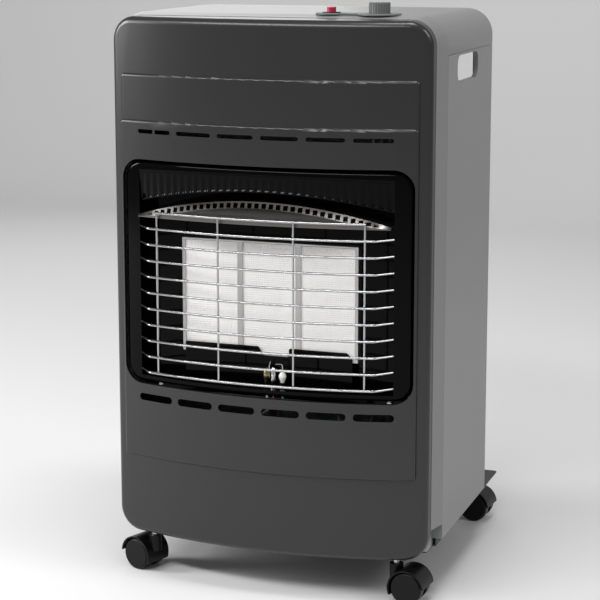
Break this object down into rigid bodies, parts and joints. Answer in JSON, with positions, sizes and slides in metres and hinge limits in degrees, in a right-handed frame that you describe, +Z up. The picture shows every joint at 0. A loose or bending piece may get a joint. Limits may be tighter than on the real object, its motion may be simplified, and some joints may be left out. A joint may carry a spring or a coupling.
{
  "type": "portable gas cabinet heater",
  "caption": "Upright gas cabinet heater with a bowed sheet-steel front, guarded ceramic burners in a recess, an open rear bottle bay and swivelling twin-wheel casters.",
  "frame": {"origin": "centre of the bounding box on the floor, under the casters", "axes": "+Z up, -Y towards the burners (the front), +X to the viewer's right facing the front"},
  "size_m": [0.42, 0.4244, 0.725],
  "materials": {
    "dark_paint": "satin anthracite powder coat",
    "grey_paint": "satin grey powder coat",
    "black_paint": "satin black powder coat",
    "black_enamel": "gloss black vitreous enamel",
    "hood_steel": "heat-darkened satin steel",
    "chrome_wire": "bright chrome plate",
    "burner_steel": "plain stainless steel",
    "burner_ceramic": "matt white cordierite ceramic, fine perforation",
    "white_ceramic": "glazed white ceramic",
    "zinc_steel": "zinc-plated steel",
    "cast_alloy": "die-cast alloy",
    "pipe_alloy": "drawn aluminium tube",
    "yellow_brass": "machined brass",
    "grey_plastic": "grey satin plastic",
    "black_plastic": "black satin plastic",
    "red_plastic": "red gloss plastic",
    "wheel_plastic": "dark grey satin plastic",
    "copper_wire": "plain drawn copper",
    "lead_silicone": "pale silicone insulation"
  },
  "bodies": {
    "cabinet": {"front_panel": "dark_paint", "top_cover": "grey_paint", "side_panel_left": "grey_paint", "side_panel_right": "grey_paint", "base_plate": "black_paint", "chassis_frame": "zinc_steel", "rear_rail": "zinc_steel", "heat_shield": "zinc_steel", "burner_housing": "black_enamel", "heat_hood": "hood_steel", "wire_guard": "chrome_wire", "burner_left": "burner_steel", "burner_middle": "burner_steel", "burner_right": "burner_steel", "plaque_left": "burner_ceramic", "plaque_middle": "burner_ceramic", "plaque_right": "burner_ceramic", "plaque_frame": "burner_steel", "pilot_shield": "black_enamel", "injector_rail": "zinc_steel", "injectors": "yellow_brass", "pilot_burner": "yellow_brass", "thermocouple": "burner_steel", "spark_electrode": "white_ceramic", "gas_valve": "cast_alloy", "valve_bracket": "zinc_steel", "escutcheon": "grey_plastic", "piezo_igniter": "black_plastic", "piezo_nut": "black_plastic", "ignition_lead": "lead_silicone", "supply_pipes": "pipe_alloy", "pilot_pipe": "pipe_alloy", "hose_tail": "yellow_brass", "thermocouple_lead": "copper_wire", "caster_sockets": "zinc_steel", "casing_screws": "zinc_steel"},
    "knob_push": {"spindle_collar": "zinc_steel"},
    "knob_turn": {"control_knob": "grey_plastic", "valve_spindle": "yellow_brass"},
    "button": {"ignition_button": "red_plastic"},
    "caster_front_left_swivel": {"caster_front_left_stem": "zinc_steel", "caster_front_left_hood": "black_plastic", "caster_front_left_axle": "zinc_steel"},
    "caster_front_left_wheel_a_body": {"caster_front_left_wheel_a": "wheel_plastic"},
    "caster_front_left_wheel_b_body": {"caster_front_left_wheel_b": "wheel_plastic"},
    "caster_front_right_swivel": {"caster_front_right_stem": "zinc_steel", "caster_front_right_hood": "black_plastic", "caster_front_right_axle": "zinc_steel"},
    "caster_front_right_wheel_a_body": {"caster_front_right_wheel_a": "wheel_plastic"},
    "caster_front_right_wheel_b_body": {"caster_front_right_wheel_b": "wheel_plastic"},
    "caster_rear_left_swivel": {"caster_rear_left_stem": "zinc_steel", "caster_rear_left_hood": "black_plastic", "caster_rear_left_axle": "zinc_steel"},
    "caster_rear_left_wheel_a_body": {"caster_rear_left_wheel_a": "wheel_plastic"},
    "caster_rear_left_wheel_b_body": {"caster_rear_left_wheel_b": "wheel_plastic"},
    "caster_rear_right_swivel": {"caster_rear_right_stem": "zinc_steel", "caster_rear_right_hood": "black_plastic", "caster_rear_right_axle": "zinc_steel"},
    "caster_rear_right_wheel_a_body": {"caster_rear_right_wheel_a": "wheel_plastic"},
    "caster_rear_right_wheel_b_body": {"caster_rear_right_wheel_b": "wheel_plastic"}
  },
  "joints": [
    {"name": "knob_push", "type": "slide", "parent": "cabinet", "child": "knob_push", "axis": [0, 0, -1], "range_m": [0, 0.0045], "stiffness_N_per_m": 600, "springref_m": -0.004},
    {"name": "knob_turn", "type": "hinge", "parent": "knob_push", "child": "knob_turn", "pos_m": [0.124, -0.113, 0.725], "axis": [0, 0, 1], "range_deg": [0, 240]},
    {"name": "button_push", "type": "slide", "parent": "cabinet", "child": "button", "axis": [0, 0, -1], "range_m": [0, 0.005], "stiffness_N_per_m": 800, "springref_m": -0.003},
    {"name": "front_left_swivel", "type": "hinge", "parent": "cabinet", "child": "caster_front_left_swivel", "pos_m": [-0.161, -0.147, 0.0595], "axis": [0, 0, 1], "continuous": true},
    {"name": "front_left_wheel_a_spin", "type": "hinge", "parent": "caster_front_left_swivel", "child": "caster_front_left_wheel_a_body", "pos_m": [-0.17791, -0.14084, 0.02], "axis": [-0.342, -0.9397, 0], "continuous": true},
    {"name": "front_left_wheel_b_spin", "type": "hinge", "parent": "caster_front_left_swivel", "child": "caster_front_left_wheel_b_body", "pos_m": [-0.17791, -0.14084, 0.02], "axis": [-0.342, -0.9397, 0], "continuous": true},
    {"name": "front_right_swivel", "type": "hinge", "parent": "cabinet", "child": "caster_front_right_swivel", "pos_m": [0.161, -0.147, 0.0595], "axis": [0, 0, 1], "continuous": true},
    {"name": "front_right_wheel_a_spin", "type": "hinge", "parent": "caster_front_right_swivel", "child": "caster_front_right_wheel_a_body", "pos_m": [0.17893, -0.14857, 0.02], "axis": [0.0872, 0.9962, 0], "continuous": true},
    {"name": "front_right_wheel_b_spin", "type": "hinge", "parent": "caster_front_right_swivel", "child": "caster_front_right_wheel_b_body", "pos_m": [0.17893, -0.14857, 0.02], "axis": [0.0872, 0.9962, 0], "continuous": true},
    {"name": "rear_left_swivel", "type": "hinge", "parent": "cabinet", "child": "caster_rear_left_swivel", "pos_m": [-0.161, 0.1902, 0.0595], "axis": [0, 0, 1], "continuous": true},
    {"name": "rear_left_wheel_a_spin", "type": "hinge", "parent": "caster_rear_left_swivel", "child": "caster_rear_left_wheel_a_body", "pos_m": [-0.179, 0.1902, 0.02], "axis": [0, -1, 0], "continuous": true},
    {"name": "rear_left_wheel_b_spin", "type": "hinge", "parent": "caster_rear_left_swivel", "child": "caster_rear_left_wheel_b_body", "pos_m": [-0.179, 0.1902, 0.02], "axis": [0, -1, 0], "continuous": true},
    {"name": "rear_right_swivel", "type": "hinge", "parent": "cabinet", "child": "caster_rear_right_swivel", "pos_m": [0.161, 0.1902, 0.0595], "axis": [0, 0, 1], "continuous": true},
    {"name": "rear_right_wheel_a_spin", "type": "hinge", "parent": "caster_rear_right_swivel", "child": "caster_rear_right_wheel_a_body", "pos_m": [0.17893, 0.18863, 0.02], "axis": [0.0872, 0.9962, 0], "continuous": true},
    {"name": "rear_right_wheel_b_spin", "type": "hinge", "parent": "caster_rear_right_swivel", "child": "caster_rear_right_wheel_b_body", "pos_m": [0.17893, 0.18863, 0.02], "axis": [0.0872, 0.9962, 0], "continuous": true}
  ]
}
